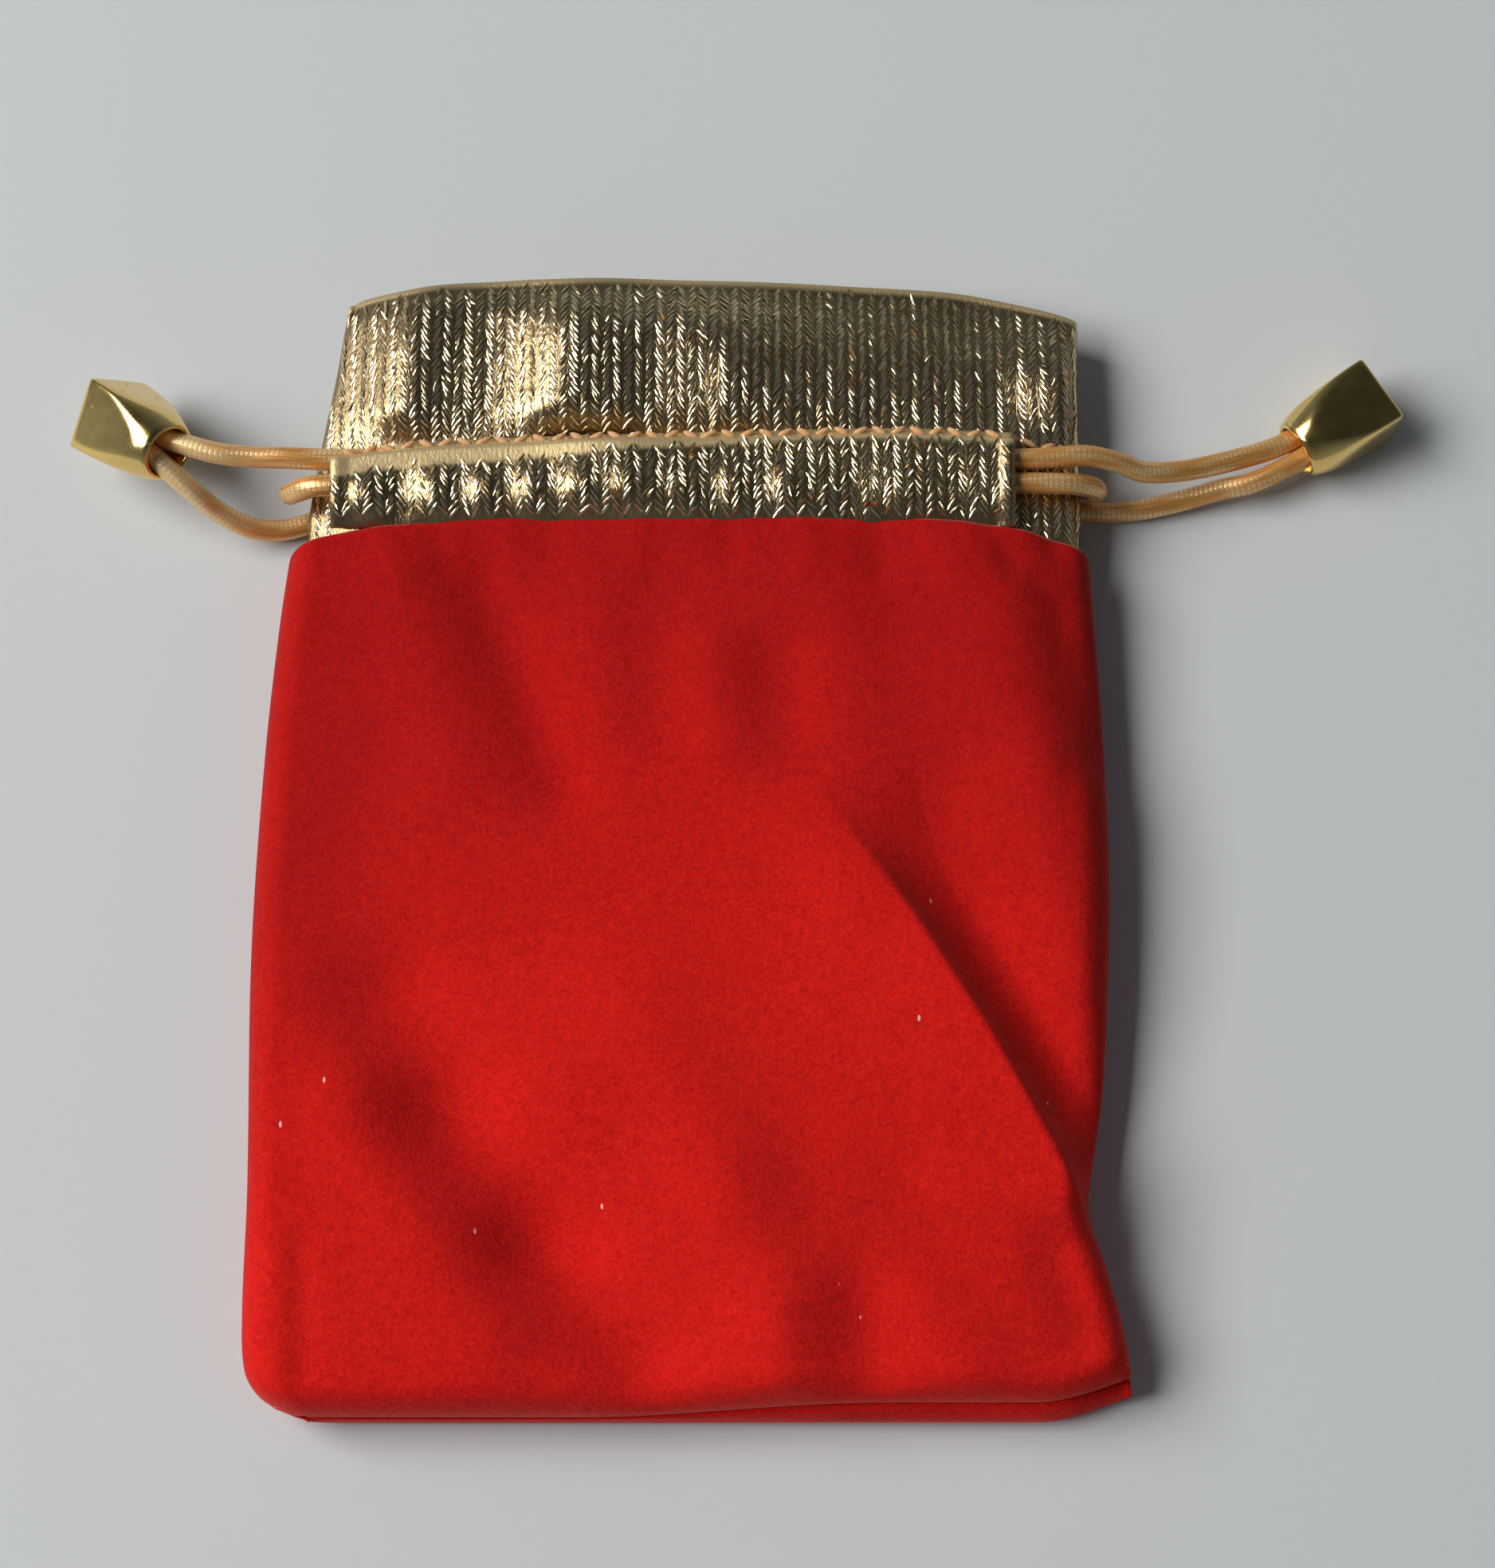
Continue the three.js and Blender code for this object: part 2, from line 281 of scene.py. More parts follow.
# The routes, in metres: from one bell along the front channel, round the far side of the neck,
# and back along the back channel to the same bell.
cords = {
    "diameter": 2.3, "sides": 24, "step": 0.55, "lane": 1.25,
    "right": [
        (0.0628, 0.0427, 0.0042), (0.0570, 0.0408, 0.0048), (0.0525, 0.0396, 0.0058),
        (0.0486, 0.0391, 0.0071), (0.0458, 0.0396, 0.0086), (0.0423, 0.0399, 0.0099),
        (0.0385, 0.0396, 0.0101), (0.0345, 0.0394, 0.0101), (0.0210, 0.0394, 0.0101),
        (0.0060, 0.0394, 0.0101), (-0.0010, 0.0390, 0.0094), (-0.0080, 0.0381, 0.0089),
        (-0.0150, 0.0372, 0.0094), (-0.0220, 0.0368, 0.0101),
        (-0.0300, 0.0368, 0.0101), (-0.0375, 0.0366, 0.0101), (-0.0403, 0.0365, 0.0095),
        (-0.0420, 0.0365, 0.0077), (-0.0425, 0.0370, 0.0059), (-0.0420, 0.0379, 0.0041),
        (-0.0403, 0.0390, 0.0025), (-0.0375, 0.0393, 0.00175), (-0.0340, 0.0393, 0.00175),
        (-0.0220, 0.0393, 0.00175), (-0.0080, 0.0386, 0.0017), (0.0080, 0.0367, 0.0017),
        (0.0210, 0.0367, 0.0017), (0.0360, 0.0367, 0.0017), (0.0425, 0.0364, 0.0016),
        (0.0480, 0.0366, 0.0016), (0.0530, 0.0376, 0.0018), (0.0574, 0.0387, 0.0025),
        (0.0614, 0.0394, 0.0034),
    ],
    "left": [
        (-0.0504, 0.0404, 0.0096), (-0.0465, 0.0399, 0.0096), (-0.0420, 0.0396, 0.0100),
        (-0.0375, 0.0394, 0.0101), (-0.0300, 0.0394, 0.0101), (-0.0220, 0.0394, 0.0101),
        (-0.0150, 0.0390, 0.0108), (-0.0080, 0.0381, 0.0113), (-0.0010, 0.0372, 0.0108),
        (0.0060, 0.0368, 0.0101), (0.0220, 0.0368, 0.0101), (0.0300, 0.0368, 0.0101),
        (0.0385, 0.0367, 0.0101),
        (0.0412, 0.0368, 0.0096), (0.0432, 0.0370, 0.0079), (0.0437, 0.0372, 0.0060),
        (0.0433, 0.0381, 0.0041), (0.0415, 0.0390, 0.0025), (0.0385, 0.0393, 0.00175),
        (0.0340, 0.0393, 0.00175), (0.0220, 0.0393, 0.0020), (0.0100, 0.0390, 0.0034),
        (0.0000, 0.0380, 0.0040), (-0.0100, 0.0370, 0.0034), (-0.0210, 0.0367, 0.0019),
        (-0.0300, 0.0367, 0.0017), (-0.0365, 0.0366, 0.0017), (-0.0404, 0.0353, 0.0016),
        (-0.0438, 0.0343, 0.0018), (-0.0470, 0.0342, 0.0030), (-0.0504, 0.0354, 0.0051),
        (-0.0530, 0.0370, 0.0078),
    ],
}


# The points of a strand at its bell: beside its partner at the mouth, then straight up the bore.
def mouthPoints(side, lane):
    place = bellFrame(side, rolled=False)
    return [place @ Vector((depth * mm, lane * cords["lane"] * mm, 0)) for depth in (4.2, 1.6)]


# A Catmull-Rom curve through the points, stepped evenly.
def evenCurve(points, step):
    dense = []
    padded = [points[0] * 2 - points[1]] + points + [points[-1] * 2 - points[-2]]
    for i in range(1, len(padded) - 2):
        p0, p1, p2, p3 = padded[i - 1:i + 3]
        for k in range(24):
            t = k / 24
            dense.append(0.5 * (2 * p1 + (p2 - p0) * t + (2 * p0 - 5 * p1 + 4 * p2 - p3) * t * t
                                + (3 * p1 - 3 * p2 + p3 - p0) * t**3))
    dense.append(points[-1].copy())
    total = sum((b - a).length for a, b in zip(dense, dense[1:]))
    count = round(total / step)
    even, walked, i = [dense[0].copy()], 0, 0
    for k in range(1, count):
        target = total * k / count
        while walked + (dense[i + 1] - dense[i]).length < target:
            walked += (dense[i + 1] - dense[i]).length
            i += 1
        share = (target - walked) / (dense[i + 1] - dense[i]).length
        even.append(dense[i].lerp(dense[i + 1], share))
    even.append(dense[-1].copy())
    return even, total


# Frames along a curve that never twist against each other.
def carriedFrames(line):
    frames = []
    side = Vector((0, 0, 1))
    for i, point in enumerate(line):
        ahead = (line[min(i + 1, len(line) - 1)] - line[max(i - 1, 0)]).normalized()
        side = (side - ahead * side.dot(ahead)).normalized()
        frames.append((point, side, ahead.cross(side)))
    return frames


def makeCord(side, material):
    lanes = (1, -1) if side == "right" else (-1, 1)
    route = [Vector(p) for p in cords[side]]
    ends = [mouthPoints(side, lane) for lane in lanes]
    line, length = evenCurve(ends[0] + route + list(reversed(ends[1])), cords["step"] * mm)
    frames = carriedFrames(line)
    radius = cords["diameter"] / 2 * mm

    def place(across, along):
        point, first, second = frames[round(along * (len(line) - 1))]
        angle = 2 * math.pi * across
        return (point + (first * math.cos(angle) + second * math.sin(angle)) * radius) / mm

    bm = grid(cords["sides"], len(line) - 1, place, (1, length / mm))
    bmesh.ops.remove_doubles(bm, verts=bm.verts, dist=1e-6)
    bmesh.ops.holes_fill(bm, edges=[e for e in bm.edges if e.is_boundary], sides=0)
    bmesh.ops.recalc_face_normals(bm, faces=bm.faces)
    piece = finishMesh(bm, side + "_drawcord", material)
    return piece, line, length


def satinCord():
    finish = Finish("satinCord")
    uv = finish.node("ShaderNodeUVMap", {"uv_map": "cloth"}).outputs[0]
    strands = finish.noise(finish.stretched(uv, (34, 0.16, 1)), 1, 3, 0.6)
    cover = finish.noise(finish.stretched(uv, (5, 0.13, 1)), 1, 2)
    brick = finish.node(
        "ShaderNodeTexBrick", {"offset": 0.5},
        {"Vector": finish.stretched(uv, (19, 1, 1)), "Scale": 1, "Brick Width": 1, "Row Height": 0.55,
         "Mortar Size": 0.15, "Mortar Smooth": 0.8, "Color1": (1, 1, 1, 1), "Color2": (1, 1, 1, 1)},
    )
    isStitch = 1 - Value(finish, brick.outputs["Fac"])  # the tiny crossing threads
    isStitch = isStitch * finish.spread(cover, 0.46, 0.6)
    tone = finish.spread(strands * 0.7 + cover * 0.3, 0.34, 0.66)
    base = finish.mix(tone, (0.56, 0.19, 0.03, 1), (0.94, 0.54, 0.16, 1))
    across = Value(finish, finish.node("ShaderNodeSeparateXYZ", None, {0: finish.place()}).outputs[0])
    paintedHighlight = finish.spread(across, -0.064, -0.043, 0.9, 0)  # painted highlight: the cord is painted paler towards the left bell, standing in for its satin highlight there
    base = finish.mix(paintedHighlight, base, (1.0, 0.78, 0.40, 1))
    finish.set(Base_Color=finish.mix(isStitch * 0.6, base, (1.0, 0.88, 0.58, 1)))
    finish.set(Roughness=finish.spread(strands, 0.3, 0.7, 0.26, 0.4))
    finish.set(Metallic=finish.spread(tone, 0, 1, 0.35, 0.6))
    finish.set(Specular_IOR_Level=0.75, Anisotropic=0.6, Sheen_Weight=0.05, Sheen_Tint=(1, 0.7, 0.4, 1))
    finish.bump(strands + isStitch * 0.3, 0.7, 0.08)
    return finish.material


cordFinish = satinCord()
cordPieces = {}
for side in ("right", "left"):
    cordPieces[side] = makeCord(side, cordFinish)
    print(side, "drawcord", round(cordPieces[side][2], 4), "m")


# Velvet bag.

velvet = {
    "columns": 190, "rows": 205, "wall": 0.9,
    "seam": 4.4, "crown": 10.9, "neck": 10.9, "under": 0.25, "shoulder": 0.86,
    "sideRoll": 3.6, "bottomRoll": 3.0,
    "left": [(-61, -38.0), (-60.2, -40.6), (-58.6, -43.0), (-56, -44.4), (-50, -44.8), (-38, -44.7),
             (-13, -45.1), (7.5, -44.4), (22, -43.3), (33, -42.0)],
    "right": [(-61, 45.2), (-57.5, 45.3), (-51, 44.2), (-45, 42.6), (-40.5, 41.2), (-38, 41.35),
              (-34, 42.1), (-28, 43.0), (-16, 43.8), (-4.6, 44.2), (12.7, 43.8), (33, 42.6)],
    "fold": [(10.4, 9.5), (13.2, 5.0), (16.6, 0.2), (20.6, -5.0), (24.6, -10.5), (28.0, -15.9), (31.8, -22.0),
             (35.2, -28.3), (38.3, -34.1), (41.0, -39.8), (42.6, -44.5)],
    "foldRise": 2.0, "foldDrop": 3.0, "foldWidth": 6.0, "foldSide": 1.1,
    "waves": [
        (-30, 26, -24, 6, 4.6, 0.7), (-21, 25, -13, 4, 3.8, -1.15), (-9.5, 25, -8, 12, 4.2, 0.65),
        (2.5, 17, 3.5, 9, 4.0, 0.7), (10, 17, 11, 7, 4.2, -0.8),
        (-37, 14, -35, -2, 7.0, -0.35), (-35, -3, -31, -14, 6.6, -0.3),
        (-29.5, -19, -23, -30, 6.0, -1.5), (-23, -30, -14, -43, 6.2, -1.9), (-14, -43, -4, -55, 5.6, -2.0),
        (-40, -18, -34, -31, 4.6, 0.5), (-34, -31, -20, -53, 5.0, 1.0),
        (-4, -20, 4, -38, 6.5, 1.1), (4, -38, 10, -50, 6.0, 1.1),
        (11, 5, 17, -6, 5.0, 0.5), (27, 2, 31, -9, 3.6, -0.6), (37, 4, 40, -16, 3.6, 0.7),
        (30.5, 31, 36, 8, 5.0, 0.9), (39, 30, 43, 8, 3.4, -1.6), (21, 28, 23, 14, 4.4, -0.5),
        (9, -51, 10, -57, 3.6, 0.8), (18, -49, 19, -57, 3.8, -1.0),
        (26, -50, 29, -56, 4.2, 0.7), (22, -38, 27, -46, 4.5, -0.6), (38, -46, 40.5, -52, 3.4, -1.0),
        (-38.4, -44, -37.8, -57, 1.5, -0.3), (-40.6, -46, -40.2, -56, 1.8, 0.2),
        (-33, 33, -30, 26, 1.7, 0.25), (-27, 33, -25.5, 27, 1.6, -0.25), (-19, 33, -18.5, 26, 1.7, 0.2),
        (-14.5, 33, -14, 28, 1.5, -0.2), (-5, 33, -5.5, 27, 1.8, 0.2), (4, 33, 4.5, 28, 1.6, -0.2),
        (12, 33, 13, 28, 1.7, 0.2), (19, 33, 20.5, 27, 1.7, -0.25), (25, 33, 28, 26, 1.8, 0.35),
        (31, 33, 34, 28, 1.7, -0.5), (36, 32, 39, 26, 1.7, 0.45),
    ],
}


# The velvet's edge against the collar, a shallow arc.
def waistLine(x):
    return 33.1 - 2.6 * abs(x / 42) ** 4


# How far the sewn bottom line sits in from the lowest edge, and how high the right corner lifts.
def bottomInset(x):
    return 0.2 + 1.35 * smooth(-14, 20, x)


def bottomLine(x):
    return -61 + 2.7 * smooth(33, 46, x) ** 1.4


# The seam's height: it lifts along the bottom, where the back cloth turns up into view.
def seamHeight(x, y):
    return velvet["seam"] + 1.2 * smooth(-14, 20, x) * (1 - smooth(-60, -52, y)) * (1 - smooth(38, 45, x))


# A path 0..1 out to a rolled edge: how far out, and how high, each 0..1.
def rolled(share, rollWidth, halfWidth):
    flat = halfWidth - rollWidth
    arc = 1.5708 * rollWidth
    walked = share * (flat + arc)
    if walked <= flat:
        return walked / halfWidth, 1.0
    angle = (walked - flat) / arc * math.pi / 2
    return (flat + rollWidth * math.sin(angle)) / halfWidth, math.cos(angle)


# How far along the fold line a point is, and how far to the line's right.
def byFold(x, y):
    best = (1e9, 0, 0)
    walked = 0
    line = velvet["fold"]
    for (x0, y0), (x1, y1) in zip(line, line[1:]):
        dx, dy = x1 - x0, y1 - y0
        length = math.hypot(dx, dy)
        share = min(1, max(0, ((x - x0) * dx + (y - y0) * dy) / length**2))
        gapX, gapY = x - x0 - share * dx, y - y0 - share * dy
        gap = math.hypot(gapX, gapY)
        if gap < best[0]:
            best = (gap, walked + share * length, math.copysign(gap, gapY * dx - gapX * dy))
        walked += length
    return best[1], best[2]


def velvetFront(across, along):
    spread = across * 2 - 1
    out, sideHigh = rolled(abs(spread), velvet["sideRoll"], 44)
    out = math.copysign(out, spread)
    fromWaist = (1 - along)
    down, bottomHigh = rolled(fromWaist, velvet["bottomRoll"], 94)
    roughX = out * 44
    low = bottomLine(roughX) + bottomInset(roughX)
    top = waistLine(roughX)
    y = lerp(top, low, down)
    x = lerp(through(velvet["left"], y), through(velvet["right"], y), (out + 1) / 2)
    seam = seamHeight(x, y)
    rise = lerp(velvet["crown"], velvet["neck"], smooth(-10, 33, y)) - seam
    pillow = velvet["shoulder"] + (1 - velvet["shoulder"]) * (1 - out**4) * (1 - down**6)
    pillow = lerp(pillow, lerp(pillow, 1, 0.6), smooth(15, 33, y))
    lift = relief(velvet["waves"], x, y)
    at, right = byFold(x, y)
    right += velvet["foldSide"]
    strength = smooth(3, 31, at) * smooth(-44.5, -39, y)
    width = lerp(velvet["foldWidth"] * 2, velvet["foldWidth"], smooth(4, 24, at))
    top, bottom = velvet["foldRise"] * strength, -velvet["foldDrop"] * strength
    if right < 0:
        lift += top * math.exp(right / 10)
    elif right < width:
        lift += lerp(top, bottom, (1 - (1 - right / width) ** 2.3) * smooth(-0.2, 1.2, right))
    else:
        lift += bottom * math.exp((width - right) / 8)
    z = seam + (rise * pillow + lift * min(1, bottomHigh * 1.2)) * sideHigh * bottomHigh
    groove = 0.45 * math.exp(-((z - seam) / 0.55) ** 2)
    x -= groove * spread ** 9
    y += groove * (1 - bottomHigh) * 0.6
    tuck = smooth(0.9915, 1, along)  # the top edge rolls under
    return (x, y, z - 1.0 * tuck * tuck)


def velvetBack(across, along):
    spread = across * 2 - 1
    out, sideHigh = rolled(abs(spread), velvet["sideRoll"], 44)
    out = math.copysign(out, spread)
    roughX = out * 44
    roll = 0.06
    low = bottomLine(roughX)
    inset = bottomInset(roughX)
    turn = max(0, 1 - along / roll)  # 0 on the flat underside, 1 at the sewn bottom line
    if turn > 0.55:
        inward = inset * ((turn - 0.55) / 0.45) ** 2
    else:
        inward = 4 * ((0.55 - turn) / 0.55) ** 2
    y = low + inward if turn > 0 else lerp(low + 4, waistLine(roughX), (along - roll) / (1 - roll))
    x = lerp(through(velvet["left"], y), through(velvet["right"], y), (out + 1) / 2)
    seam = seamHeight(x, y)
    drop = seam - velvet["under"]
    lift = 0.25 * (1 + relief([(-30, -40, -5, 10, 9, 1), (8, 20, 26, -30, 8, 0.8)], x, y))
    z = seam - drop * sideHigh * math.cos(turn * math.pi / 2)
    z += lift * smooth(0.7, 1, sideHigh) * (1 - turn) * 0.6
    x -= 0.45 * math.exp(-((seam - z) / 0.55) ** 2) * spread ** 9
    return (x, y, z)


def cutPileVelvet():
    finish = Finish("cutPileVelvet")
    where = finish.place()
    pile = finish.noise(where, 2600, 3, 0.65)
    tufts = finish.noise(where, 900, 2, 0.55)
    brushed = finish.noise(where, 60, 2, 0.5)
    tone = finish.spread(pile * 0.6 + tufts * 0.22 + brushed * 0.18, 0.34, 0.66)
    pileColour = finish.mix(tone, (0.46, 0.005, 0.005, 1), (0.78, 0.015, 0.010, 1))
    grain = finish.node("ShaderNodeTexVoronoi", None,
                        {"Vector": finish.stretched(where, (1, 0.42, 1), 0.6), "Scale": 240, "Randomness": 1})
    isNear = Value(finish, grain.outputs["Distance"]) < 0.034
    pick = finish.node("ShaderNodeSeparateColor", None, {0: grain.outputs["Color"]})
    lint = isNear * (Value(finish, pick.outputs[0]) > 0.25)
    spot = finish.node("ShaderNodeSeparateXYZ", None, {0: where})
    across = Value(finish, spot.outputs[0])
    towardNeck = Value(finish, spot.outputs[1]) + across * across * 19 - across * 0.1
    paintedShade = finish.spread(towardNeck + brushed * 0.008, -0.004, 0.036, 0, 0.38)  # painted shade: the velvet is painted darker towards the neck and the sides
    pileColour = finish.mix(paintedShade, pileColour, (0.12, 0.001, 0.002, 1))
    finish.set(Base_Color=finish.mix(lint, pileColour, (0.85, 0.42, 0.38, 1)))
    finish.set(Roughness=0.95, Specular_IOR_Level=0.1, Sheen_Weight=0.45, Sheen_Roughness=0.35)
    finish.set(Sheen_Tint=(1, 0.30, 0.26, 1))
    finish.bump(pile * 0.6 + tufts * 0.5 + lint, 0.7, 0.22)
    return finish.material


def makeVelvet(material):
    flat = (90, 96)
    front = finishMesh(grid(velvet["columns"], velvet["rows"], velvetFront, flat), "front_velvet", material)
    back = finishMesh(grid(120, 110, velvetBack, flat), "back_velvet", material)
    back.data.flip_normals()
    for sheet in (front, back):
        thicken(sheet, velvet["wall"], lambda x, y: smooth(0, 5, min(
            math.hypot(x + 39, y + 61), math.hypot(x - 45.2, y + 58.6))))
    return front, back


velvetFinish = cutPileVelvet()
frontVelvet, backVelvet = makeVelvet(velvetFinish)
print("velvet made")


# Gold collar.

collar = {
    "columns": 150, "rows": 64, "wall": 0.45, "from": 30.4, "waveTrim": 0.24,
    "seam": 5.6, "front": 8.75, "back": 3.05,
    "left": [(28, -40.4), (34, -40.5), (38, -39.9), (42.4, -39.3), (50, -38.0), (56, -37.0), (58.6, -36.2)],
    "right": [(28, 41.6), (34, 42.0), (42.4, 42.0), (50, 42.0), (57.4, 42.1)],
    "rim": [(-38, 57.4), (-36.3, 58.7), (-33, 59.5), (-22.7, 60.6), (3, 61.2), (20, 60.4), (29, 59.7),
            (37, 58.1), (42.2, 56.7)],
    "stitchLine": [(-40, 39.6), (-38.7, 39.8), (-30, 41.2), (-14.3, 42.1), (4.5, 42.6), (23, 43.0),
                   (34, 42.4), (42, 41.4)],
    "waves": [
        (-29.5, 62, -30.8, 43, 4.8, 2.5), (-11.2, 62, -12.8, 43, 6.8, 2.9), (-1, 56, -1, 43, 5.0, 1.0),
        (5, 54, 9, 43, 7.0, 1.6), (43.5, 52, 44.5, 43, 6.0, 1.2), (30, 54, 33, 44, 5.0, -0.8),
        (-23, 52, -24, 44, 2.2, 0.4), (-17.2, 57, -17.8, 44, 1.8, -0.3), (-6.5, 54, -7, 43, 2.0, 0.35),
        (4.5, 50, 4, 43, 2.0, 0.35), (17, 49, 17, 43, 2.2, 0.35), (30, 50, 31, 44, 2.4, 0.3),
    ],
}


# The collar's free edge, cut a little shorter where the cloth waves up.
def rimLine(x):
    return through(collar["rim"], x) - collar["waveTrim"] * relief(collar["waves"], x, 58)


# The height of the collar's outer face.
def collarHeight(x, y, isFront):
    left, right = through(collar["left"], y), through(collar["right"], y)
    spread = min(1, abs((x - (left + right) / 2) / ((right - left) / 2)))
    level = collar["front"] if isFront else collar["back"]
    dome = math.sqrt(max(0, 1 - spread ** (3.2 if x < 0 else 14)))
    z = lerp(collar["seam"], level, dome)
    toRim = rimLine(x) - y
    fade = smooth(41, 46, y) * min(1, dome * 1.3) * lerp(0.75, 1, smooth(0, 8, toRim))
    far = smooth(-38, 20, x) if isFront else 0
    z += (-1 if isFront else 1) * lerp(0.8, 2.3, far) * (1 - smooth(0, lerp(3, 11, far), toRim)) ** 1.4 * dome
    if isFront:
        sag = 1.1 * math.exp(-(toLine(x, y, -11, 38, -5, 38) / 5) ** 2)
        return z + relief(collar["waves"], x, y) * fade - sag
    hump = 1.9 * math.exp(-(toLine(x, y, -6, 38, 6, 38) / 5) ** 2)
    return z + relief(collar["waves"], -x, y) * fade * 0.6 + hump


def collarPlace(isFront):
    def place(across, along):
        rough = lerp(-39, 42, across)
        rim = rimLine(rough)
        y = lerp(collar["from"], rim, along)
        out = math.sin((across - 0.5) * math.pi)  # finer towards the side seams
        out = lerp(across * 2 - 1, out, 0.6)
        x = lerp(through(collar["left"], y), through(collar["right"], y), (out + 1) / 2)
        rim = rimLine(x)
        y = lerp(collar["from"], rim, along)
        return (x, y, collarHeight(x, y, isFront))
    return place


def makeCollarSheet(isFront, material):
    name = "front_collar" if isFront else "back_collar"
    bm = grid(collar["columns"], collar["rows"], collarPlace(isFront), (81, 31))
    band = bm.verts.layers.float.new("band")
    for vert in bm.verts:
        x, y = vert.co.x / mm, vert.co.y / mm
        vert[band] = 1 - smooth(0.3, 0.7, rimLine(x) - y)
    piece = finishMesh(bm, name, material)
    if not isFront:
        piece.data.flip_normals()
    return thicken(piece, collar["wall"])


# Casing strips over the cords.

casing = {
    "columns": 130, "rows": 34, "wall": 0.4, "hem": 1.7, "hemLift": 0.35,
    "front": (-37.6, 34.6), "back": (-36, 36), "low": 31.6,
    "gathers": [(-34.0, 0.7), (-30.2, -0.4), (-26.5, 0.65), (-21.5, 0.6), (-16.5, 0.6), (-11.5, 0.5),
                (-6.0, 0.55), (-0.5, 0.5), (4.8, 0.5), (10.5, 0.4), (17.5, -0.25), (23.0, 0.2), (28.5, -0.2)],
}


# Where the smooth foil drawn tight over the upper cord gives way to the open knit below it.
def bandFoot(x):
    return through(collar["stitchLine"], x) - lerp(3.4, 1.9, smooth(-22, 14, x))


# The strip's outer face: sewn down at the stitch line, up over the cords, down under the velvet.
def casingHeight(x, y, isFront):
    top = through(collar["stitchLine"], x)
    share = (y - casing["low"]) / (top - casing["low"])
    if isFront:
        base = 9.9
        lane = 11.85 + 1.1 * math.exp(-((x + 8) / 7) ** 2)
    else:
        base, lane = 2.4, 0.12
    up = smooth(-0.08, 0.42, share) ** 0.8
    down = 1 - smooth(0.84, 1.0, share)
    z = lerp(base, lane, up * down)
    low, high = casing["front"] if isFront else casing["back"]
    hem = casing["hemLift"] * (1 - smooth(casing["hem"] * 0.7, casing["hem"], min(x - low, high - x)))
    if not isFront:
        return z - hem * 0.2
    for place, height in casing["gathers"]:
        puff = smooth(0.02, 0.2, share) * (1 - smooth(0.45, 0.75, share))
        z += 0.9 * height * math.exp(-((x - place) / 1.7) ** 2) * puff
    return z + hem


def makeCasing(isFront, material):
    low, high = casing["front"] if isFront else casing["back"]

    def place(across, along):
        x = lerp(low, high, across)
        top = through(collar["stitchLine"], x)
        y = lerp(casing["low"], top, along)
        return (x, y, casingHeight(x, y, isFront))

    name = "front_casing_strip" if isFront else "back_casing_strip"
    bm = grid(casing["columns"], casing["rows"], place, (72, 11))
    band = bm.verts.layers.float.new("band")
    for vert in bm.verts:
        x, y = vert.co.x / mm, vert.co.y / mm
        vert[band] = smooth(bandFoot(x) - 0.3, bandFoot(x) + 0.3, y)
    piece = finishMesh(bm, name, material)
    if not isFront:
        piece.data.flip_normals()
    return thicken(piece, casing["wall"])


# Metallic chevron knit that covers the gold cloth.

knit = {
    "column": 1.14, "pitch": 0.68, "length": 1.85, "width": 0.36, "height": 0.045, "lean": 31,
    "ridge": 0.45,  # the share of a spindle's width that is flat on top
    "calm": 0.1, "wild": 0.34, "wildShare": 0.08,  # how far spindles tip, and how many tip further
    "lift": (0.02, 0.12), "seed": 7,
}


# One flat spindle of foil yarn for each leg of every chevron, laid on the surface height(x, y).
def makeKnit(name, height, left, right, low, high, way, material, disorder=1, skip=None, tip=None):
    rng = random.Random(knit["seed"])
    bm = bmesh.new()
    bm.verts.layers.float.new("tone")
    column = 0
    x = left + knit["column"] / 2
    while x < right:
        strip = bmesh.new()
        tone = strip.verts.layers.float.new("tone")
        lean = math.radians(knit["lean"]) * (1 if column % 2 else -1)
        y = low + rng.uniform(0, 0.2)
        columnTone = rng.uniform(-0.08, 0.08)
        while y < high(x):
            spotX = x + rng.uniform(-0.06, 0.06)
            spotY = y + rng.uniform(-0.08, 0.08)
            if not (skip and skip(spotX, spotY)):
                place = spindlePlace(height, spotX, spotY, lean + rng.gauss(0, 0.1), way, rng, disorder,
                                     tip(spotX, spotY) if tip else 0)
                made = bmesh.ops.create_cone(
                    strip, cap_ends=True, segments=6, radius1=1, radius2=knit["ridge"], depth=2,
                    matrix=place)
                value = min(1, max(0, 0.5 + columnTone + rng.gauss(0, 0.16)))
                for vert in made["verts"]:
                    vert[tone] = value
            y += knit["pitch"]
        column += 1
        x += knit["column"]
        loose = bpy.data.meshes.new("strip")
        strip.to_mesh(loose)
        strip.free()
        bm.from_mesh(loose)
        bpy.data.meshes.remove(loose)
    return finishMesh(bm, name, material, False)


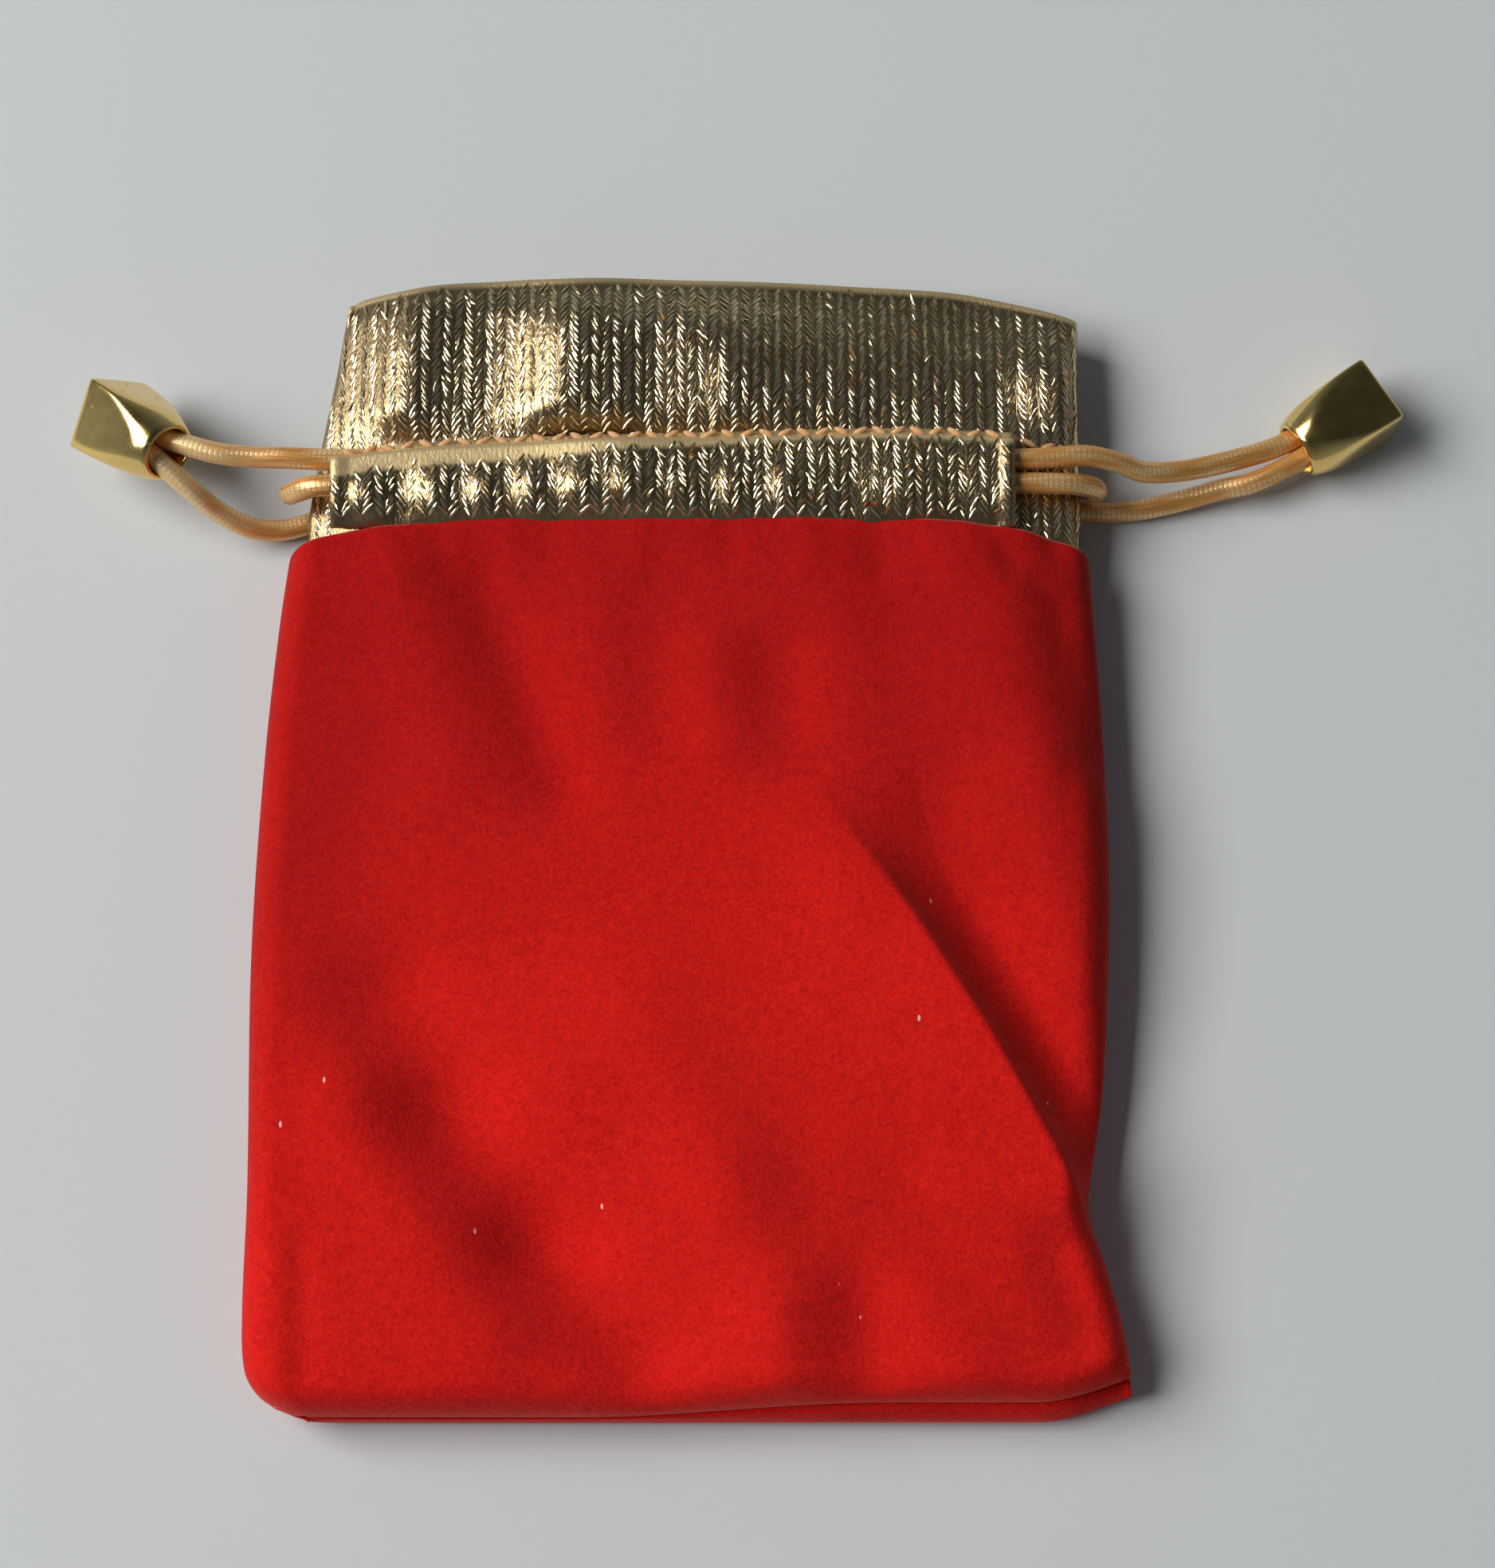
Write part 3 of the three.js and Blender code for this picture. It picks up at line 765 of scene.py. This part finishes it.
# Where one spindle lies: along the cloth, turned by angle, and tipped a little by chance.
def spindlePlace(height, x, y, angle, way, rng, disorder, tip):
    step = 0.3
    slopeX = (height(x + step, y) - height(x - step, y)) / (2 * step) + tip
    slopeY = (height(x, y + step) - height(x, y - step)) / (2 * step)
    normal = Vector((-slopeX, -slopeY, 1)).normalized() * way
    along = Vector((math.sin(angle), math.cos(angle), 0))
    along = (along - normal * along.dot(normal)).normalized()
    side = along.cross(normal)
    spread = knit["wild"] if rng.random() < disorder * knit["wildShare"] else knit["calm"]
    tilt = Matrix.Rotation(rng.gauss(0, spread), 3, along)
    tilt = Matrix.Rotation(rng.gauss(0, spread * 0.8), 3, side) @ tilt
    normal, along, side = tilt @ normal, tilt @ along, tilt @ side
    size = (knit["width"] / 2, knit["length"] / 2 * rng.uniform(0.86, 1.08), knit["height"] / 2)
    place = Matrix.Identity(4)
    for row in range(3):
        place[row][0] = side[row] * size[0] * mm
        place[row][1] = along[row] * size[1] * mm
        place[row][2] = normal[row] * size[2] * mm
    place.translation = (Vector((x, y, height(x, y))) + normal * rng.uniform(*knit["lift"])) * mm
    if place.to_3x3().determinant() < 0:
        for row in range(3):
            place[row][0] = -place[row][0]
    return place


def foilYarn():
    finish = Finish("foilYarn")
    tone = Value(finish, finish.node("ShaderNodeAttribute", {"attribute_name": "tone"}).outputs["Fac"])
    colour = finish.mix(tone, (0.70, 0.50, 0.24, 1), (0.99, 0.84, 0.56, 1))
    finish.set(Base_Color=colour, Metallic=1.0, Roughness=finish.spread(tone, 0, 1, 0.26, 0.16))
    finish.bump(finish.noise(finish.place(), 2200, 2, 0.5), 0.5, 0.03)
    return finish.material


def lameGround():
    finish = Finish("lameGround")
    uv = finish.node("ShaderNodeUVMap", {"uv_map": "cloth"}).outputs[0]
    threads = finish.noise(finish.stretched(uv, (3.2, 1.1, 1)), 1, 3, 0.6)
    dark = finish.mix(threads, (0.09, 0.055, 0.025, 1), (0.66, 0.48, 0.25, 1))
    smoothBand = Value(finish, finish.node("ShaderNodeAttribute", {"attribute_name": "band"}).outputs["Fac"])
    colour = finish.mix(smoothBand, dark, (0.70, 0.53, 0.27, 1))
    finish.set(Base_Color=colour, Metallic=0.95 - smoothBand * 0.4)
    finish.set(Roughness=finish.spread(threads, 0.3, 0.7, 0.28, 0.2) + smoothBand * 0.2)
    finish.bump(threads, 0.4, 0.2)
    return finish.material


groundFinish = lameGround()
foilFinish = foilYarn()
frontCollar = makeCollarSheet(True, groundFinish)
backCollar = makeCollarSheet(False, groundFinish)
frontCasing = makeCasing(True, groundFinish)
backCasing = makeCasing(False, groundFinish)
print("collar and casings made")


def rimAt(x):
    return rimLine(x) - 1.0


def underCasing(x, y):
    low, high = casing["front"]
    return low + 0.4 < x < high - 0.4 and y < through(collar["stitchLine"], x)


def beyondCollar(x, y):
    return x < through(collar["left"], y) + 0.15 or x > through(collar["right"], y) - 0.15


# How far the front collar's yarns lie over to one side, as a slope: one way at the left,
# the other at the upper right.
def foilTip(x, y):
    edge = 0.14 * (1 - smooth(-37, -30, x))
    left = 0.12 * (1 - smooth(-20, 6, x))
    upperRight = 0.26 * smooth(-6, 14, x) * smooth(44, 54, y) * (1 - smooth(33, 41, x))
    return edge + left - upperRight


frontKnit = makeKnit(
    "front_collar_knit", lambda x, y: collarHeight(x, y, True), -40, 42, 31.5, rimAt, 1, foilFinish, 1,
    lambda x, y: underCasing(x, y) or beyondCollar(x, y), foilTip,
)
backKnit = makeKnit(
    "back_collar_knit", lambda x, y: collarHeight(x, y, False), -40, 42, 31.5, rimAt, -1, foilFinish, 1,
    lambda x, y: (abs(x) < 35.6 and y < through(collar["stitchLine"], x)) or beyondCollar(x, y),
)
frontCasingKnit = makeKnit(
    "front_casing_knit", lambda x, y: casingHeight(x, y, True), *casing["front"], 33.2,
    lambda x: bandFoot(x) + 0.2, 1, foilFinish, 5, None, lambda x, y: 0.16 * (1 - smooth(2, 18, x)),
)
backCasingKnit = makeKnit(
    "back_casing_knit", lambda x, y: casingHeight(x, y, False) + 0.12, *casing["back"], 32.4,
    lambda x: through(collar["stitchLine"], x) - 0.9, -1, foilFinish, 1,
    lambda x, y: casingHeight(x, y, False) < 0.6,
)
print("knit made")


# Sewing thread.

thread = {"length": 1.7, "gap": 0.3, "width": 0.66, "seed": 3}


def sewingThread(name, dark, light):
    finish = Finish(name)
    where = finish.place()
    ply = finish.noise(finish.stretched(where, (1, 1, 1), 0.7), 3500, 2)
    finish.set(Base_Color=finish.mix(ply, dark, light), Roughness=0.55, Sheen_Weight=0.3)
    finish.bump(ply, 0.6, 0.08)
    return finish.material


# A row of single stitches along place(share), each a slim spindle dipping into the cloth at its ends.
def makeStitches(name, place, length, material, zigzag=0.0):
    rng = random.Random(thread["seed"])
    bm = bmesh.new()
    count = max(2, round(length / (thread["length"] + thread["gap"])))
    for i in range(count):
        start = Vector(place((i + 0.08) / count))
        end = Vector(place((i + 0.92) / count))
        sway = zigzag * (1 if i % 2 else -1)
        start.y += sway + rng.uniform(-0.06, 0.06)
        end.y -= sway + rng.uniform(-0.06, 0.06)
        run = end - start
        thick = thread["width"] / 2 * mm
        lie = run.to_track_quat("X", "Z").to_matrix().to_4x4()
        lie = lie @ Matrix.Diagonal((run.length / 2 * mm, thick, thick, 1))
        lie.translation = (start + end) / 2 * mm
        bmesh.ops.create_uvsphere(bm, u_segments=8, v_segments=6, radius=1, matrix=lie)
    return finishMesh(bm, name, material)


goldThread = sewingThread("goldThread", (0.50, 0.22, 0.07, 1), (0.92, 0.56, 0.26, 1))
redThread = sewingThread("redThread", (0.20, 0.004, 0.004, 1), (0.42, 0.012, 0.010, 1))


def stitchPlace(isFront, inset, lift):
    low, high = (-38.6, 41.4) if isFront else casing["back"]

    def place(share):
        x = lerp(low, high, share)
        y = through(collar["stitchLine"], x) - inset
        if not isFront:
            return (x, y, casingHeight(x, y, False) - lift)
        inCasing = casing["front"][0] < x < casing["front"][1]
        z = casingHeight(x, y, True) if inCasing else collarHeight(x, y, True)
        return (x, y, z + lift)
    return place


stitches = {}
stitches["front_casing_topstitch"] = makeStitches(
    "front_topstitch_row", stitchPlace(True, 0.55, 0.4), 80, goldThread, 0.4)
stitches["back_casing_topstitch"] = makeStitches(
    "back_topstitch_row", stitchPlace(False, 0.55, 0.2), 72, goldThread, 0.1)
for label, level in (("front", 8.05), ("back", 1.75)):
    stitches[label + "_waist_seam"] = makeStitches(
        label + "_waist_stitches",
        lambda s, z=level: (lerp(-34, 34, s), waistLine(lerp(-34, 34, s)) - 1.6, z), 68, redThread)
for label, edge, way in (("left", "left", 1), ("right", "right", -1)):
    stitches[label + "_side_seam"] = makeStitches(
        label + "_side_stitches",
        lambda s, e=edge, w=way: (through(velvet[e], lerp(-36, 24, s)) + 1.9 * w, lerp(-36, 24, s), 4.4),
        60, redThread)
    stitches[label + "_collar_seam"] = makeStitches(
        label + "_collar_stitches",
        lambda s, e=edge, w=way: (through(collar[e], lerp(45, 57, s)) + 1.3 * w, lerp(45, 57, s), 5.4),
        12, goldThread)
stitches["bottom_seam"] = makeStitches(
    "bottom_stitches", lambda s: (lerp(-34, 36, s), bottomLine(lerp(-34, 36, s)) + 3.6, 4.4), 70, redThread)
print("stitching made")


# Bells and knots.

bellDetail = {"segments": 160, "rings": 30, "corner": 17, "edge": 0.42}


def platedBell():
    finish = Finish("platedBell")
    where = finish.place()
    cloud = finish.noise(where, 420, 3, 0.55)
    specks = finish.node("ShaderNodeTexVoronoi", None, {"Vector": where, "Scale": 900, "Randomness": 1})
    pit = finish.spread(Value(finish, specks.outputs["Distance"]), 0.10, 0.24, 1, 0)
    pick = finish.node("ShaderNodeSeparateColor", None, {0: specks.outputs["Color"]})
    pit = pit * (Value(finish, pick.outputs[0]) > 0.86)
    base = finish.mix(cloud, (0.84, 0.55, 0.15, 1), (0.94, 0.70, 0.29, 1))
    finish.set(Base_Color=finish.mix(pit * 0.6, base, (0.25, 0.15, 0.05, 1)), Metallic=1.0)
    finish.set(Roughness=finish.spread(cloud, 0.3, 0.7, 0.11, 0.2) + pit * 0.3)
    finish.bump(cloud * 0.3 - pit * 0.4, 0.25, 0.05)
    return finish.material


# How far out the bell's skin is at a height along it, before it is squared off.
def bellRadius(along):
    fromEnd = max(0, 1 - along / bells["length"])
    flare = bells["side"] / math.sqrt(2) + 0.05 - bells["mouth"]
    return bells["mouth"] + flare * (1 - fromEnd ** bells["flarePower"])


def squared(radius, angle, half):
    toFace = half / max(abs(math.cos(angle)), abs(math.sin(angle)), 1e-6)
    power = bellDetail["corner"]
    return (radius**-power + toFace**-power) ** (-1 / power)


def makeBell(side, material):
    edge = bellDetail["edge"]
    length, half = bells["length"], bells["side"] / 2
    profile = [(bells["boreDepth"], 0.02), (bells["boreDepth"], bells["bore"] - 0.3),
               (bells["boreDepth"] - 0.3, bells["bore"]), (0.25, bells["bore"]), (0.06, bells["bore"] + 0.1)]
    profile += [(0.0, (bells["bore"] + bells["mouth"]) / 2), (0.08, bells["mouth"] - 0.08)]
    outerFrom = len(profile)
    for i in range(bellDetail["rings"] + 1):
        along = lerp(0.25, length - edge, i / bellDetail["rings"])
        profile.append((along, None))
    for i in range(1, 6):
        turn = i * math.pi / 10
        profile.append((length - edge + edge * math.sin(turn), edge * (1 - math.cos(turn))))
    profile.append((length, None))
    bm = bmesh.new()
    level = bm.verts.layers.int.new("ring")
    steps = bellDetail["segments"]
    verts = []
    for along, radius in profile:
        verts.append(bm.verts.new((along * mm, (radius if radius else 1) * mm, 0)))
    edges = [bm.edges.new(pair) for pair in zip(verts, verts[1:])]
    for index, vert in enumerate(verts):
        vert[level] = index
    bmesh.ops.spin(bm, geom=verts + edges, cent=(0, 0, 0), axis=(1, 0, 0), angle=2 * math.pi,
                   steps=steps, use_merge=True)
    last = len(profile) - 1
    for vert in bm.verts:
        index = vert[level]
        if index < outerFrom:
            continue
        angle = math.atan2(vert.co.z, vert.co.y)
        along = profile[index][0]
        inset = profile[index][1] or 0
        radius = squared(bellRadius(min(along, length - edge)), angle, half) - inset
        if index == last:
            radius = 0.02
            along = length
        vert.co = Vector((along, radius * math.cos(angle), radius * math.sin(angle))) * mm
    bmesh.ops.remove_doubles(bm, verts=bm.verts, dist=1e-7)
    bmesh.ops.holes_fill(bm, edges=[e for e in bm.edges if e.is_boundary], sides=0)
    bmesh.ops.recalc_face_normals(bm, faces=bm.faces)
    bmesh.ops.transform(bm, matrix=bellFrame(side), verts=bm.verts)
    return finishMesh(bm, side + "_square_bell", material)


knots = {"from": 4.0, "to": 7.4, "coil": 1.25, "radius": 0.95, "step": 0.35, "points": 29, "sides": 14}


# The knot in the bore: a short fat coil round the two strands.
def makeKnot(side, material):
    points = []
    last = knots["points"] - 1
    for i in range(knots["points"]):
        angle = i * math.pi / 4.5
        out, up = knots["coil"] * math.cos(angle), knots["coil"] * math.sin(angle)
        points.append(Vector((lerp(knots["from"], knots["to"], i / last), out, up)) * mm)
    line, length = evenCurve(points, knots["step"] * mm)
    frames = carriedFrames(line)
    radius = knots["radius"]

    def place(across, along):
        point, first, second = frames[round(along * (len(line) - 1))]
        angle = 2 * math.pi * across
        return point / mm + (first * math.cos(angle) + second * math.sin(angle)) * radius

    bm = grid(knots["sides"], len(line) - 1, place, (1, length / mm))
    bmesh.ops.remove_doubles(bm, verts=bm.verts, dist=1e-6)
    bmesh.ops.holes_fill(bm, edges=[e for e in bm.edges if e.is_boundary], sides=0)
    bmesh.ops.recalc_face_normals(bm, faces=bm.faces)
    bmesh.ops.transform(bm, matrix=bellFrame(side), verts=bm.verts)
    return finishMesh(bm, side + "_knot", material)


bellFinish = platedBell()
bellPieces = {side: makeBell(side, bellFinish) for side in ("right", "left")}
knotPieces = {side: makeKnot(side, cordFinish) for side in ("right", "left")}
print("bells and knots made")


# Table and light.

def tableTop():
    finish = Finish("tableTop")
    where = finish.place()
    soft = finish.noise(where, 9, 2)
    fine = finish.noise(where, 700, 2)
    colour = finish.mix(soft * 0.7 + fine * 0.3, (0.60, 0.625, 0.635, 1), (0.66, 0.675, 0.68, 1))
    finish.set(Base_Color=colour, Roughness=0.5, Specular_IOR_Level=0.3)
    finish.bump(fine, 0.05, 0.05)
    return finish.material


def addTable():
    bm = bmesh.new()
    bmesh.ops.create_grid(bm, x_segments=2, y_segments=2, size=2)
    table = finishMesh(bm, "table", tableTop())


window = {"place": (-1240, 170, 1300), "size": (1350, 1000), "power": 36.8, "colour": (1, 0.99, 0.97)}
air = {"colour": (0.80, 0.90, 1.0, 1), "horizon": 0.27, "overhead": 0.035}


def addWindow():
    data = bpy.data.lights.new("window", "AREA")
    data.shape = "RECTANGLE"
    data.size, data.size_y = window["size"][0] * mm, window["size"][1] * mm
    data.energy = window["power"]
    data.color = window["colour"]
    light = bpy.data.objects.new("window", data)
    light.location = Vector(window["place"]) * mm
    light.rotation_euler = (-Vector(window["place"])).to_track_quat("-Z", "Y").to_euler()
    bpy.context.scene.collection.objects.link(light)


def addRoom():
    world = bpy.data.worlds.new("room")
    bpy.context.scene.world = world
    room = Nodes(world)
    upward = Value(room, room.node("ShaderNodeSeparateXYZ", None, {0: room.place("Generated")}).outputs[2])
    background = room.tree.nodes["Background"]
    background.inputs[0].default_value = air["colour"]
    room.feed(background.inputs[1], room.spread(upward, 0, 0.9, air["horizon"], air["overhead"]))


addTable()
addRoom()
addWindow()
print("table and light set")
bpy.context.scene.view_settings.view_transform = "Standard"


# How everything moves, and what it stands for.

def settle():
    for piece, slot, nodes in (
        (frontVelvet, "velvet", ["front_velvet_panel"]), (backVelvet, "velvet", ["back_velvet_panel"]),
        (frontCasing, "lame", ["front_casing"]), (backCasing, "lame", ["back_casing"]),
        (frontCasingKnit, "lame", []), (backCasingKnit, "lame", []),
    ):
        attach(piece, "pouch")
        if nodes:
            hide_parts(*nodes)
    for piece, nodes in (
        (frontCollar, ["front_collar_band", "front_collar_flap"]),
        (backCollar, ["back_collar_band", "back_collar_flap"]),
        (frontKnit, []), (backKnit, []),
    ):
        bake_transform(piece)
        if nodes:
            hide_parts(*nodes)
    for node, piece in stitches.items():
        body = "collar_flap" if "collar" in node else "pouch"
        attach(piece, body)
        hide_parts(node)
    for side in ("right", "left"):
        piece, line, length = cordPieces[side]
        pull = side + "_cord_pull"
        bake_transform(piece)
        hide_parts(*[side + "_cord_" + part for part in ("front_tail", "back_tail", "loop")])
        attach(knotPieces[side], pull)
        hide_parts(side + "_cord_knot")
        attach(bellPieces[side], side + "_bell")
        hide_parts(side + "_bell")
        [tuple(p) for p in line[::2]] + [tuple(line[-1])]


settle()


print("finished")
